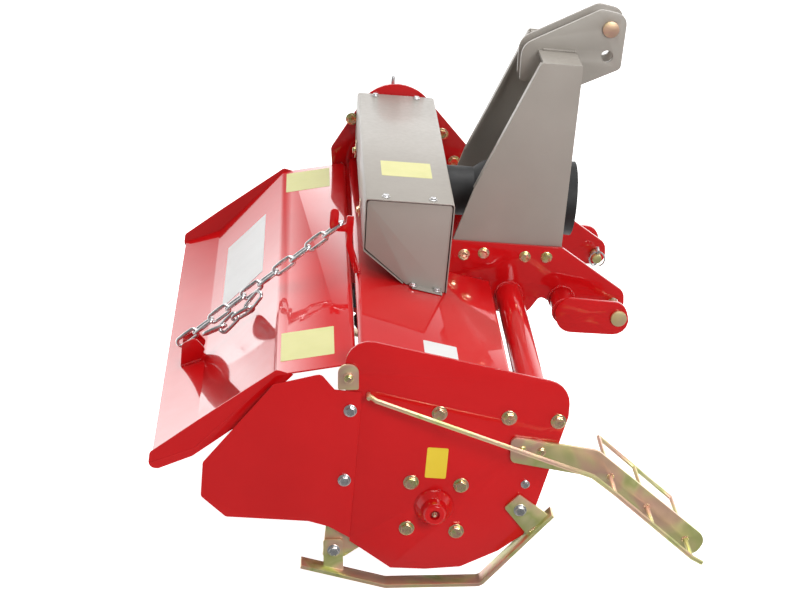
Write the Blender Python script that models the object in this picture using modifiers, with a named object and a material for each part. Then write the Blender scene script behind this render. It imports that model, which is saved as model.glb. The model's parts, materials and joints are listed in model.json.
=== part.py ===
"""Rotary tiller: mounted machine for a small tractor, side driven, standing on its skids.

Axes: X forward, Y to the machine's left, Z up, in metres.  Most pieces are set out in the
body frame: its origin is the rotor's axis at the outer face of the right side plate.  The
body sits a few degrees nose down over its level skids, as it does when it is parked.
"""

import math

import bmesh
import bpy
from mathutils import Matrix, Vector

# Stance
HUB_HEIGHT = 0.172            # rotor axis above the floor
NOSE_DOWN = math.radians(5.0)  # body pitch over the level skids
JOINT_GAP = 0.0003            # between two pieces that touch
WELD = 0.001                  # how far shapes that make one piece run into each other

# Body
PLATE_SPAN = 1.333            # outer face to outer face of the two side plates
PLATE_THICK = 0.006
SHEET = 0.003
DECK_TOP = (-0.162, 0.304)    # x, z where the hood leaves its rear roll
DECK_SLOPE = math.radians(-9.4)
DECK_FRONT = 0.135            # x of the hood's front edge
HOOD_LIP = 0.030
NOTCH_X = 0.034               # the hood is cut from here forward for the hitch
NOTCH_MARGIN = 0.067          # on each side of the inner hitch plates

# Rotor
ROTOR_RADIUS = 0.158
ROTOR_TUBE_RADIUS = 0.032
STUB_RADIUS = 0.0175
STUB_CLEARANCE = 0.002
BLADE_SETS = 7
BLADES_PER_SET = 4
BLADE_INSET = 0.105           # first blade set from each side plate's outer face
BLADE_WIDTH = 0.042
BLADE_THICK = 0.007
BLADE_REACH = 0.052           # sideways part of each L-shaped blade
FLANGE_RADIUS = 0.072
FLANGE_THICK = 0.009

# Drive
HITCH_MIDDLE = 0.865          # y of the hitch's middle plane
CROSS_SHAFT = (-0.063, 0.399)  # x, z of the drive's upper shaft
CASE_WIDTH = 0.070
CASE_WALL = 0.005
INPUT_Z = 0.388
INPUT_RADIUS = 0.0175
NOSE_RADIUS = 0.052           # of the gearbox's input bearing
COVER_FRONT = 0.027
COVER_HEEL = -0.068           # x where the cover's slanted back wall meets the deck
COVER_BACK = (-0.163, 0.361)  # x of the back wall, z where it turns in
COVER_TOP = 0.477
COVER_INNER_END = 0.480       # y of the cover's end at the hitch side
COVER_SHEET = 0.0025
COVER_END_GAP = 0.009         # between the cover and the left side plate

# Hitch
BRACKET_SPACING = 0.340       # between the outer faces of the two inner plates
BRACKET_THICK = 0.010
LOWER_PIN = (0.430, 0.200)    # x, z
LOWER_PIN_RADIUS = 0.011
LOWER_GAP = 0.085             # between the plates of one lower clevis
PIN_CLEARANCE = 0.001
FRAME_TUBE = (0.190, 0.203)   # x, z
FRAME_TUBE_RADIUS = 0.030
MAST_THICK = 0.008
MAST_FRONT = 0.299
MAST_TOP = 0.744
TOP_GAP = 0.052               # between the plates of the upper clevis
TOP_THICK = 0.010
TOP_PIN = (0.369, 0.802)
TOP_PIN_RADIUS = 0.0125
TOP_SPARE_HOLE = (0.368, 0.739)

# Tailgate and chain
TAIL_HINGE = (-0.188, 0.281)
HINGE_ROD_RADIUS = 0.0065
TAIL_ROLL_RADIUS = 0.0092     # middle of the rolled sheet
TAIL_CLEARANCE = 0.007        # between the tailgate's ends and the side plates
TAIL_FOLD_TOP = (-0.334, 0.256)
TAIL_FOLD_LOW = (-0.482, 0.090)
TAIL_EDGE = (-0.567, 0.052)
CHAIN_Y = 0.495
CHAIN_HOOK = (-0.2085, 0.4165)
CHAIN_DROP = math.radians(42.5)  # below horizontal, towards the rear
CHAIN_LINKS = 10
LINK_WIRE = 0.004
LINK_INNER = 0.0435
LINK_HALF_WIDTH = 0.0095
LINK_BITE = 0.0012            # how far taut links press into each other
HOOK_THICK = 0.006
EAR_THICK = 0.006
EAR_CLEARANCE = 0.006

# Skids and guards
SKID_WIDTH = 0.040
SKID_THICK = 0.008
SKID_FLAT = (-0.098, 0.094)
SKID_REAR = (-0.268, 0.048)   # x, rise above the floor
SKID_FRONT = (0.238, 0.152)
GUARD_ROD = 0.005
GUARD_OUT = 0.085             # outer rod from the side plate's face
GUARD_IN = 0.180              # inner rail behind the side plate's face
ARM_THICK = 0.008
ARM_BEND = Vector((0.308, 0.122))
ARM_TIP = Vector((0.536, -0.052))
RUNG_PLACES = (0.16, 0.52, 0.90)  # along the arm's lower run
ROD_ROOTS = {"right": (-0.150, 0.236), "left": (0.122, 0.178)}  # the left one clears the chain case
DEFLECTOR_THICK = 0.003

RED = ("red_paint", (0.62, 0.02, 0.02), 0.22, 0.0)
GREY = ("grey_paint", (0.42, 0.40, 0.37), 0.40, 0.0)
BLACK = ("black_paint", (0.015, 0.015, 0.016), 0.45, 0.0)
GUARD_BLACK = ("black_plastic", (0.02, 0.02, 0.022), 0.55, 0.0)
GOLD = ("yellow_zinc", (0.72, 0.55, 0.24), 0.30, 1.0)
ZINC = ("bright_zinc", (0.70, 0.70, 0.72), 0.28, 1.0)
CAST = ("grey_casting", (0.22, 0.22, 0.22), 0.60, 0.3)


# ---------------------------------------------------------------- scene and materials

def clear_scene():
    for thing in list(bpy.data.objects):
        bpy.data.objects.remove(thing, do_unlink=True)


def material(finish):
    name, colour, roughness, metallic = finish
    found = bpy.data.materials.get(name)
    if found:
        return found
    made = bpy.data.materials.new(name)
    made.use_nodes = True
    shader = made.node_tree.nodes["Principled BSDF"]
    shader.inputs["Base Color"].default_value = (*colour, 1.0)
    shader.inputs["Roughness"].default_value = roughness
    shader.inputs["Metallic"].default_value = metallic
    made.diffuse_color = (*colour, 1.0)
    return made


def collection(name):
    made = bpy.data.collections.new(name)
    bpy.context.scene.collection.children.link(made)
    return made


def empty(name, parent, place=(0, 0, 0), turn=(0, 0, 0)):
    made = bpy.data.objects.new(name, None)
    made.parent = parent
    made.location = place
    made.rotation_euler = turn
    PARTS.objects.link(made)
    return made


def add(name, data, parent, finish=None):
    """A piece when it has a finish, and otherwise a cutter or a shape that a piece is joined with."""
    made = bpy.data.objects.new(name, data)
    made.parent = parent
    if finish:
        PARTS.objects.link(made)
        data.materials.append(material(finish))
    else:
        CUTTERS.objects.link(made)
        made.hide_render = True
        made.display_type = "WIRE"
    return made


def boolean(piece, other, operation):
    step = piece.modifiers.new(operation.lower() + "_" + other.name, "BOOLEAN")
    step.operation = operation
    step.object = other
    step.solver = "EXACT"


def cut(piece, *others):
    for other in others:
        boolean(piece, other, "DIFFERENCE")
    return piece


def join(piece, *others):
    for other in others:
        boolean(piece, other, "UNION")
    return piece


def smooth(mesh, angle=35):
    mesh.shade_smooth()
    mesh.set_sharp_from_angle(angle=math.radians(angle))


# ---------------------------------------------------------------- shapes

def arc(centre, radius, start, end, steps):
    """Points on an arc, with angles in degrees."""
    return [
        (
            centre[0] + radius * math.cos(math.radians(start + (end - start) * i / steps)),
            centre[1] + radius * math.sin(math.radians(start + (end - start) * i / steps)),
        )
        for i in range(steps + 1)
    ]


def rounded(corners, steps=5):
    """The outline through these corners, each (x, z) or (x, z, radius)."""
    points = []
    count = len(corners)
    for i, corner in enumerate(corners):
        here = Vector(corner[:2])
        radius = corner[2] if len(corner) > 2 else 0
        if not radius:
            points.append(tuple(here))
            continue
        back = (Vector(corners[i - 1][:2]) - here).normalized()
        on = (Vector(corners[(i + 1) % count][:2]) - here).normalized()
        half = back.angle(on) / 2
        centre = here + (back + on).normalized() * (radius / math.sin(half))
        first = here + back * (radius / math.tan(half)) - centre
        last = here + on * (radius / math.tan(half)) - centre
        swing = first.angle_signed(last)
        for k in range(steps + 1):
            spoke = first.copy()
            spoke.rotate(Matrix.Rotation(-swing * k / steps, 2))
            points.append(tuple(centre + spoke))
    return points


def flat_curve(name, outlines, thickness):
    """A flat plate: the first outline less the others, standing in the XZ plane."""
    curve = bpy.data.curves.new(name, "CURVE")
    curve.dimensions = "2D"
    curve.fill_mode = "BOTH"
    curve.extrude = thickness / 2
    for outline in outlines:
        spline = curve.splines.new("POLY")
        spline.points.add(len(outline) - 1)
        spline.use_cyclic_u = True
        for point, (x, z) in zip(spline.points, outline):
            point.co = (x, z, 0, 1)
    return curve


def frozen(thing, finish=None, angle=35):
    """The same object, with its curve and modifiers turned into one welded mesh."""
    bpy.context.view_layer.update()
    graph = bpy.context.evaluated_depsgraph_get()
    mesh = bpy.data.meshes.new_from_object(thing.evaluated_get(graph))
    work = bmesh.new()
    work.from_mesh(mesh)
    bmesh.ops.remove_doubles(work, verts=work.verts, dist=0.00001)
    bmesh.ops.recalc_face_normals(work, faces=work.faces)
    work.to_mesh(mesh)
    work.free()
    smooth(mesh, angle)
    made = add(thing.name + "_mesh", mesh, thing.parent, finish)
    made.location = thing.location
    made.rotation_euler = thing.rotation_euler
    name = thing.name
    bpy.data.objects.remove(thing, do_unlink=True)
    made.name = name
    return made


def plate(name, outlines, y, thickness, parent, finish=None):
    """A flat plate whose middle plane stands at y."""
    made = add(name, flat_curve(name, outlines, thickness), parent, finish)
    made.location = (0, y, 0)
    made.rotation_euler = (math.pi / 2, 0, 0)
    return frozen(made, finish)


def box(name, low, high, parent, finish=None, bevel=0.0):
    mesh = bpy.data.meshes.new(name)
    work = bmesh.new()
    bmesh.ops.create_cube(work, size=1)
    size = [high[i] - low[i] for i in range(3)]
    bmesh.ops.scale(work, vec=size, verts=work.verts)
    work.to_mesh(mesh)
    work.free()
    made = add(name, mesh, parent, finish)
    made.location = [(low[i] + high[i]) / 2 for i in range(3)]
    if bevel:
        edge = made.modifiers.new("soft_edges", "BEVEL")
        edge.width = bevel
        edge.segments = 2
    return made


def cylinder(name, start, end, radius, parent, finish=None, sides=24, end_radius=None):
    """A round bar or cone from one point to another."""
    start = Vector(start)
    end = Vector(end)
    mesh = bpy.data.meshes.new(name)
    work = bmesh.new()
    bmesh.ops.create_cone(
        work,
        cap_ends=True,
        segments=sides,
        radius1=radius,
        radius2=radius if end_radius is None else end_radius,
        depth=(end - start).length,
    )
    work.to_mesh(mesh)
    work.free()
    smooth(mesh)
    made = add(name, mesh, parent, finish)
    made.location = (start + end) / 2
    made.rotation_euler = (end - start).to_track_quat("Z", "Y").to_euler()
    return made


def across(name, x, z, y0, y1, radius, parent, finish=None, sides=24):
    """A round bar along Y."""
    return cylinder(name, (x, y0, z), (x, y1, z), radius, parent, finish, sides)


def turned(name, profile, place, direction, parent, finish=None, steps=28):
    """A profile of (radius, height) turned about an axis that starts at place."""
    mesh = bpy.data.meshes.new(name)
    work = bmesh.new()
    ring = [work.verts.new((radius, 0, height)) for radius, height in profile]
    for first, second in zip(ring, ring[1:]):
        work.edges.new((first, second))
    work.to_mesh(mesh)
    work.free()
    made = add(name, mesh, parent, finish)
    made.location = place
    made.rotation_euler = Vector(direction).to_track_quat("Z", "Y").to_euler()
    screw = made.modifiers.new("turn", "SCREW")
    screw.steps = steps
    screw.render_steps = steps
    screw.use_merge_vertices = True
    screw.merge_threshold = 0.00002
    return made


def rod(name, points, radius, parent, finish=None, resolution=2):
    """A round rod through these points."""
    curve = bpy.data.curves.new(name, "CURVE")
    curve.dimensions = "3D"
    curve.bevel_depth = radius
    curve.bevel_resolution = resolution
    curve.use_fill_caps = True
    spline = curve.splines.new("POLY")
    spline.points.add(len(points) - 1)
    for point, place in zip(spline.points, points):
        point.co = (*place, 1)
    return frozen(add(name, curve, parent), finish)


def ring_rod(name, points, radius, parent, finish=None, resolution=1):
    """A closed loop of round rod through these points."""
    curve = bpy.data.curves.new(name, "CURVE")
    curve.dimensions = "3D"
    curve.bevel_depth = radius
    curve.bevel_resolution = resolution
    spline = curve.splines.new("POLY")
    spline.points.add(len(points) - 1)
    spline.use_cyclic_u = True
    for point, place in zip(spline.points, points):
        point.co = (*place, 1)
    return frozen(add(name, curve, parent), finish)


def folded_sheet(name, profile, y0, y1, thickness, parent, finish=None):
    """A sheet bent to this profile of (x, z) points and as long as y0 to y1."""
    mesh = bpy.data.meshes.new(name)
    work = bmesh.new()
    line = [work.verts.new((x, y0, z)) for x, z in profile]
    edges = [work.edges.new(pair) for pair in zip(line, line[1:])]
    swept = bmesh.ops.extrude_edge_only(work, edges=edges)["geom"]
    moved = [item for item in swept if isinstance(item, bmesh.types.BMVert)]
    bmesh.ops.translate(work, vec=(0, y1 - y0, 0), verts=moved)
    bmesh.ops.recalc_face_normals(work, faces=work.faces)
    work.to_mesh(mesh)
    work.free()
    smooth(mesh)
    made = add(name, mesh, parent, finish)
    wall = made.modifiers.new("wall", "SOLIDIFY")
    wall.thickness = thickness
    wall.offset = 0
    wall.use_even_offset = True
    return made


def fillet(points, radius, steps=3):
    """An open line with its inner corners rounded."""
    line = [points[0]]
    for before, here, after in zip(points, points[1:], points[2:]):
        here = Vector(here)
        back = (Vector(before) - here).normalized()
        on = (Vector(after) - here).normalized()
        reach = radius / math.tan(back.angle(on) / 2)
        first = here + back * reach
        last = here + on * reach
        for k in range(steps + 1):
            t = k / steps
            line.append(tuple((1 - t) ** 2 * first + 2 * t * (1 - t) * here + t ** 2 * last))
    line.append(points[-1])
    return line


def side_y(side, out):
    """The y that lies so far outside the outer face of this side's plate."""
    return -out if side == "right" else PLATE_SPAN + out


def hitch_y(side, out):
    """The y that lies so far outside the outer face of this side's inner hitch plate."""
    half = BRACKET_SPACING / 2 + out
    return HITCH_MIDDLE - half if side == "right" else HITCH_MIDDLE + half


def circle(x, z, radius, sides=20):
    return arc((x, z), radius, 0, 360, sides)[:-1]


# ---------------------------------------------------------------- side plates and hood

LOWER_EDGE = [
    (0.248, 0.214, 0.030),
    (0.206, 0.020),
    (0.186, -0.050),
    (0.139, -0.090),
    (0.066, -0.131),
    (-0.004, -0.141),
    (-0.075, -0.143),
    (-0.162, -0.088),
]


def side_plates():
    hub_hole = circle(0, 0, STUB_RADIUS + STUB_CLEARANCE)
    rod_hole = circle(*TAIL_HINGE, HINGE_ROD_RADIUS + JOINT_GAP)
    right = rounded([(-0.207, 0.355, 0.048), (0.246, 0.281, 0.050)] + LOWER_EDGE)
    house = arc(CROSS_SHAFT, 0.105, 40, 140, 10)
    left = rounded(
        [(-0.219, 0.328, 0.020)]
        + [(x, z) for x, z in reversed(house)]
        + [(0.128, 0.353, 0.015), (0.108, 0.304), (0.246, 0.281, 0.050)]
        + LOWER_EDGE
        + [(-0.207, 0.237)]
    )
    for side, outline in (("right", right), ("left", left)):
        y = side_y(side, -PLATE_THICK / 2)
        plate("side_plate_" + side, [outline, hub_hole, rod_hole], y, PLATE_THICK, BODY, RED)


def deck_z(x):
    return DECK_TOP[1] + (x - DECK_TOP[0]) * math.tan(DECK_SLOPE)


def hood():
    roll = 0.009
    centre = (DECK_TOP[0], DECK_TOP[1] - roll)
    curl = arc(centre, roll, 330, 90, 12)
    deck = [(DECK_FRONT, deck_z(DECK_FRONT)), (DECK_FRONT + 0.004, deck_z(DECK_FRONT) - HOOD_LIP)]
    line = curl + fillet([curl[-1]] + deck, 0.006)[1:]
    inside = PLATE_THICK + JOINT_GAP
    made = folded_sheet("hood", line, inside, PLATE_SPAN - inside, SHEET, BODY, RED)
    y0 = hitch_y("right", NOTCH_MARGIN)
    y1 = hitch_y("left", NOTCH_MARGIN)
    cut(made, box("hood_notch", (NOTCH_X, y0, 0.1), (0.3, y1, 0.5), BODY))


def hub():
    """The cast bearing housing on the right plate, with the recess for its grease nipple."""
    bore = STUB_RADIUS + STUB_CLEARANCE
    profile = [
        (0, 0.030),
        (0.010, 0.030),
        (0.010, 0.040),
        (0.019, 0.040),
        (0.023, 0.036),
        (0.026, 0.016),
        (0.036, 0.006),
        (0.040, 0),
        (bore, 0),
        (bore, 0.022),
        (0, 0.022),
    ]
    place = (0, -JOINT_GAP, 0)
    turned("hub_right", profile, place, (0, -1, 0), BODY, RED)


def deflectors():
    outline = rounded(
        [
            (-0.337, 0.243, 0.010),
            (-0.246, 0.272, 0.012),
            (-0.217, 0.241),
            (-0.163, 0.239, 0.006),
            (-0.163, -0.079),
            (-0.207, -0.057),
            (-0.248, -0.048),
            (-0.413, -0.049, 0.010),
            (-0.465, -0.007, 0.010),
            (-0.465, 0.067, 0.010),
        ],
        3,
    )
    for side in ("right", "left"):
        y = side_y(side, JOINT_GAP + DEFLECTOR_THICK / 2)
        plate("deflector_" + side, [outline], y, DEFLECTOR_THICK, BODY, RED)


def hinge_clips():
    """The plated clip that stops the hinge rod's end on each side plate."""
    clip = 0.005
    outline = rounded([(-0.211, 0.242, 0.004), (-0.170, 0.245, 0.004), (-0.174, 0.299, 0.019), (-0.215, 0.295, 0.019)])
    for side in ("right", "left"):
        y = side_y(side, JOINT_GAP + clip / 2)
        made = plate("hinge_clip_" + side, [outline], y, clip, BODY, GOLD)
        y0 = side_y(side, JOINT_GAP + clip - 0.001)
        y1 = side_y(side, JOINT_GAP + clip + 0.007)
        join(made, across("clip_boss_" + side, -0.192, 0.270, y0, y1, 0.010, BODY, sides=12))


# ---------------------------------------------------------------- drive

def case_outline(inset):
    """Two half circles about the upper shaft and the rotor's axis, joined by straight sides."""
    upper = Vector(CROSS_SHAFT)
    tilt = math.degrees(math.atan2(upper.y, upper.x))
    return arc(CROSS_SHAFT, 0.088 - inset, tilt - 90, tilt + 90, 12) + arc(
        (0, 0), 0.100 - inset, tilt + 90, tilt + 270, 12
    )


def chain_case():
    """The case of the side drive, a deep cover that is open towards the left side plate."""
    y0 = PLATE_SPAN + JOINT_GAP
    y1 = y0 + CASE_WIDTH
    made = plate("chain_case", [case_outline(0)], (y0 + y1) / 2, CASE_WIDTH, BODY, RED)
    depth = CASE_WIDTH - CASE_WALL
    inner = plate("case_hollow", [case_outline(CASE_WALL)], y0 + depth / 2 - 0.001, depth + 0.002, BODY)
    cut(made, inner)
    top_x = CROSS_SHAFT[0] + 0.088 * math.cos(math.radians(98))
    top_z = CROSS_SHAFT[1] + 0.088 * math.sin(math.radians(98))
    breather = (top_x, y0 + CASE_WIDTH / 2, top_z)
    cylinder("breather", breather, (top_x, breather[1], top_z + 0.026), 0.007, BODY, ZINC, 10, 0.005)
    bpy.data.objects["breather"].location.z += 0.001


def cover_line(inset, lift):
    """The cover's profile, moved in by inset and standing so far above the deck."""
    heel = COVER_HEEL + inset * 2  # the back wall slants there, so it takes a longer step
    return [
        (heel, deck_z(heel) + SHEET / 2 + lift),
        (COVER_BACK[0] + 0.004 + inset, COVER_BACK[1] + inset),
        (COVER_BACK[0] + inset, COVER_TOP - inset),
        (COVER_FRONT - inset, COVER_TOP - inset),
        (COVER_FRONT - inset, deck_z(COVER_FRONT - inset) + SHEET / 2 + lift),
    ]


def transmission_cover():
    """A folded cover, open below, closed by a flanged end wall at the hitch side."""
    y0 = COVER_INNER_END
    y1 = PLATE_SPAN - PLATE_THICK - COVER_END_GAP
    line = fillet(cover_line(0, 0.0022), 0.006, 2)
    made = folded_sheet("transmission_cover", line, y0, y1, COVER_SHEET, BODY, GREY)
    middle = (COVER_FRONT - 0.01, HITCH_MIDDLE, INPUT_Z)
    hole = cylinder("nose_hole", middle, (COVER_FRONT + 0.01, *middle[1:]), NOSE_RADIUS + 0.003, BODY)
    cut(made, hole)
    line = cover_line(COVER_SHEET + 0.001, 0.0012)
    outline = rounded([line[0]] + [(x, z, 0.006) for x, z in line[1:-1]] + [line[-1]], 2)
    wall = plate("cover_end_wall", [outline], y0 + 0.004, COVER_SHEET, BODY, GREY)
    low, high = line[-1], line[0]
    foot_line = [(low[0] - 0.006, low[1] + 0.0024), (high[0] + 0.012, high[1])]
    foot = folded_sheet("end_wall_foot", foot_line, y0 - 0.020, y0 + 0.004, COVER_SHEET * 0.9, BODY)
    join(wall, foot)


def gearbox():
    """The gearbox as one plain block under the cover, with the round nose of its input bearing."""
    y0 = HITCH_MIDDLE - 0.110
    y1 = HITCH_MIDDLE + 0.110
    made = box("gearbox", (-0.098, y0, 0.324), (0.020, y1, 0.455), BODY, CAST, 0.006)
    nose = cylinder(
        "gearbox_nose_blank", (0.010, HITCH_MIDDLE, INPUT_Z), (0.100, HITCH_MIDDLE, INPUT_Z), NOSE_RADIUS, BODY
    )
    bore = cylinder(
        "nose_bore", (0.060, HITCH_MIDDLE, INPUT_Z), (0.110, HITCH_MIDDLE, INPUT_Z), INPUT_RADIUS + 0.001, BODY
    )
    join(made, nose)
    cut(made, bore)


def pto_guard():
    """The black bell round the input shaft, open to the front."""
    wall = 0.004
    collar = 0.066
    length = 0.300
    profile = [
        (NOSE_RADIUS + 0.001, 0),
        (NOSE_RADIUS + 0.001, collar),
        (0.070, collar + 0.024),
        (0.082, length),
        (0.082 + wall, length),
        (0.070 + wall, collar + 0.022),
        (NOSE_RADIUS + wall + 0.001, collar - 0.002),
        (NOSE_RADIUS + wall + 0.001, 0),
        (NOSE_RADIUS + 0.001, 0),
    ]
    turned("pto_guard", profile, (0.034, HITCH_MIDDLE, INPUT_Z), (1, 0, 0), BODY, GUARD_BLACK, 24)


def pto_shaft():
    """The splined input shaft, with its six splines and locking groove."""
    start = 0.061
    end = 0.215
    profile = [
        (0, end - start),
        (0.014, end - start),
        (INPUT_RADIUS - 0.001, end - start - 0.003),
        (INPUT_RADIUS - 0.001, 0.110),
        (INPUT_RADIUS - 0.004, 0.107),
        (INPUT_RADIUS - 0.004, 0.100),
        (INPUT_RADIUS - 0.001, 0.097),
        (INPUT_RADIUS - 0.001, 0.0),
        (0, 0),
    ]
    turned("pto_shaft", profile, (start, 0, 0), (1, 0, 0), INPUT, ZINC, 24)


# ---------------------------------------------------------------- hitch

def hitch_brackets():
    """The inner plate of each lower clevis, which carries the mast and holds the frame tube."""
    pin_x, pin_z = LOWER_PIN
    outline = rounded(
        [
            (0.036, 0.323),
            (0.300, 0.323, 0.020),
            (0.452, 0.228, 0.024),
            (0.458, 0.176, 0.026),
            (0.330, 0.166, 0.030),
            (0.262, 0.205, 0.012),
            (0.235, 0.160, 0.030),
            (0.150, 0.160, 0.030),
            (0.128, 0.240, 0.012),
            (0.036, 0.236, 0.006),
        ]
    )
    holes = [
        circle(pin_x, pin_z, LOWER_PIN_RADIUS + PIN_CLEARANCE),
        circle(*FRAME_TUBE, FRAME_TUBE_RADIUS + JOINT_GAP, 32),
    ]
    for side in ("right", "left"):
        y = hitch_y(side, -BRACKET_THICK / 2)
        plate("hitch_bracket_" + side, [outline] + holes, y, BRACKET_THICK, BODY, RED)


def lower_clevises():
    """The outer plate of each lower clevis with the short tube that spaces it out."""
    pin_x, pin_z = LOWER_PIN
    outline = rounded(
        [(0.272, 0.240, 0.036), (0.440, 0.236, 0.030), (0.468, 0.160, 0.034), (0.300, 0.158, 0.036)]
    )
    hole = circle(pin_x, pin_z, LOWER_PIN_RADIUS + PIN_CLEARANCE)
    for side in ("right", "left"):
        y = hitch_y(side, JOINT_GAP + LOWER_GAP + BRACKET_THICK / 2)
        made = plate("lower_clevis_" + side, [outline, hole], y, BRACKET_THICK, BODY, RED)
        y0 = hitch_y(side, JOINT_GAP)
        y1 = hitch_y(side, LOWER_GAP + 0.002)
        join(made, across("clevis_spacer_" + side, 0.311, 0.203, y0, y1, 0.028, BODY))


def lower_pins():
    pin_x, pin_z = LOWER_PIN
    head = LOWER_GAP + BRACKET_THICK + 2 * JOINT_GAP
    for side in ("right", "left"):
        y0 = hitch_y(side, head + 0.007)
        y1 = hitch_y(side, -BRACKET_THICK - 0.040)
        made = across("lower_pin_" + side, pin_x, pin_z, y0, y1, LOWER_PIN_RADIUS, BODY, GOLD, 16)
        head_y = hitch_y(side, head)
        join(made, across("pin_head_" + side, pin_x, pin_z, y0, head_y, 0.018, BODY, sides=20))
        y = hitch_y(side, -BRACKET_THICK - 0.024)
        hole = cylinder(
            "linch_hole_" + side, (pin_x, y, pin_z - 0.03), (pin_x, y, pin_z + 0.03), 0.0045, BODY, sides=8
        )
        cut(made, hole)
        linch_pin(side, pin_x, y, pin_z)


def linch_pin(side, x, y, z):
    """The cross pin with its spring ring, through the inner end of a lower pin."""
    made = cylinder("linch_pin_" + side, (x, y, z - 0.024), (x, y, z + 0.026), 0.004, BODY, ZINC, 8)
    head = cylinder("linch_head_" + side, (x, y + 0.003, z + 0.020), (x, y - 0.019, z + 0.020), 0.005, BODY, sides=8)
    join(made, head, ring_rod("linch_ring_" + side, ring_points(x, y - 0.016, z), 0.002, BODY))


def ring_points(x, y, z):
    radius = 0.019
    return [
        (x + radius * math.sin(math.radians(t)), y, z + 0.001 + radius * math.cos(math.radians(t)))
        for t in range(0, 360, 30)
    ]


def frame_tube():
    inside = PLATE_THICK + JOINT_GAP
    x, z = FRAME_TUBE
    across("frame_tube", x, z, inside, PLATE_SPAN - inside, FRAME_TUBE_RADIUS, BODY, RED, 32)


def mast():
    """Two folded side plates, the web between their front edges, and the upper clevis."""
    face = -BRACKET_THICK - JOINT_GAP
    lip = 0.014
    outline = rounded(
        [
            (0.046, 0.285, 0.006),
            (0.052, 0.321),
            (0.087, 0.443),
            (0.209, MAST_TOP, 0.004),
            (MAST_FRONT, MAST_TOP, 0.004),
            (MAST_FRONT, 0.285, 0.006),
        ],
        2,
    )
    clevis_face = TOP_GAP / 2 + TOP_THICK + JOINT_GAP
    for side in ("right", "left"):
        y = hitch_y(side, face - MAST_THICK / 2)
        made = plate("mast_side_" + side, [outline], y, MAST_THICK, BODY, GREY)
        inner = -1 if side == "right" else 1
        flange = HITCH_MIDDLE + inner * clevis_face
        y0, y1 = sorted((flange, hitch_y(side, face - 0.001)))
        top = box("mast_top_" + side, (0.212, y0, MAST_TOP - 0.008), (MAST_FRONT - 0.001, y1, MAST_TOP - 0.001), BODY)
        y0, y1 = sorted((hitch_y(side, face - 0.001), hitch_y(side, face - MAST_THICK - lip)))
        edge = folded_sheet("mast_lip_" + side, [(0.090, 0.443), (0.2095, MAST_TOP - 0.004)], y0, y1, 0.006, BODY)
        join(made, top, edge)
    side_face = face - MAST_THICK - JOINT_GAP
    y0 = hitch_y("right", side_face)
    y1 = hitch_y("left", side_face)
    box("mast_web", (MAST_FRONT - 0.010, y0, 0.500), (MAST_FRONT - 0.002, y1, 0.655), BODY, GREY)


def upper_clevis():
    outline = rounded(
        [
            (0.177, 0.668, 0.006),
            (0.174, 0.750, 0.040),
            (0.345, 0.845, 0.030),
            (0.404, 0.835, 0.026),
            (0.402, 0.712, 0.014),
            (0.316, 0.668),
        ]
    )
    holes = [
        circle(*TOP_PIN, TOP_PIN_RADIUS + PIN_CLEARANCE),
        circle(*TOP_SPARE_HOLE, TOP_PIN_RADIUS + PIN_CLEARANCE),
    ]
    for side, sign in (("right", -1), ("left", 1)):
        y = HITCH_MIDDLE + sign * (TOP_GAP + TOP_THICK) / 2
        plate("top_clevis_" + side, [outline] + holes, y, TOP_THICK, BODY, GREY)
    out = TOP_GAP / 2 + TOP_THICK + JOINT_GAP
    x, z = TOP_PIN
    made = across(
        "top_link_pin", x, z, HITCH_MIDDLE - out - 0.007, HITCH_MIDDLE + out + 0.022, TOP_PIN_RADIUS, BODY, GOLD, 16
    )
    y0 = HITCH_MIDDLE - out - 0.007
    join(made, across("top_pin_head", x, z, y0, HITCH_MIDDLE - out, 0.0185, BODY, sides=20))


# ---------------------------------------------------------------- rotor

def blade_profile(sign):
    """From the flange outwards, and then sideways."""
    out = ROTOR_RADIUS - BLADE_THICK
    root = sign * ((FLANGE_THICK + BLADE_THICK) / 2 - WELD)
    return fillet([(0.034, root), (out, root), (out, root + sign * BLADE_REACH)], 0.020, 4)


def blade_set():
    """One flange with its L-shaped blades, alternately bent right and left, as one mesh."""
    flange = across("blade_set_1", 0, 0, -FLANGE_THICK / 2, FLANGE_THICK / 2, FLANGE_RADIUS, ROTOR, BLACK, 24)
    bore = across("flange_bore", 0, 0, -0.02, 0.02, ROTOR_TUBE_RADIUS + JOINT_GAP, ROTOR)
    for i in range(BLADES_PER_SET):
        sign = 1 if i % 2 == 0 else -1
        line = [(r, y) for r, y in blade_profile(sign)]
        blade = folded_sheet("blade_%d" % i, line, -BLADE_WIDTH / 2, BLADE_WIDTH / 2, BLADE_THICK, ROTOR)
        turn = Matrix.Rotation(2 * math.pi * i / BLADES_PER_SET, 4, "Y")
        swap = Matrix(((1, 0, 0, 0), (0, 0, 1, 0), (0, 1, 0, 0), (0, 0, 0, 1)))
        blade.data.transform(turn @ swap)
        blade.data.flip_normals()
        join(flange, blade)
    cut(flange, bore)
    made = frozen(flange, BLACK)
    made.data.transform(made.matrix_basis)
    return made


def rotor():
    ends = PLATE_THICK + 0.006
    y1 = PLATE_SPAN - ends
    made = across("rotor_shaft", 0, 0, ends, y1, ROTOR_TUBE_RADIUS, ROTOR, BLACK, 24)
    stub = across("rotor_stubs", 0, 0, -0.016, PLATE_SPAN + 0.030, STUB_RADIUS, ROTOR, sides=16)
    join(made, stub)
    first = blade_set()
    pitch = (PLATE_SPAN - 2 * BLADE_INSET) / (BLADE_SETS - 1)
    for i in range(BLADE_SETS):
        if i == 0:
            this = first
        else:
            this = add("blade_set_%d" % (i + 1), first.data, ROTOR)
            CUTTERS.objects.unlink(this)
            PARTS.objects.link(this)
            this.hide_render = False
            this.display_type = "TEXTURED"
        this.location = (0, BLADE_INSET + i * pitch, 0)
        this.rotation_euler = (0, math.radians(90 / BLADE_SETS * i * 3), 0)


# ---------------------------------------------------------------- tailgate and chain

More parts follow.
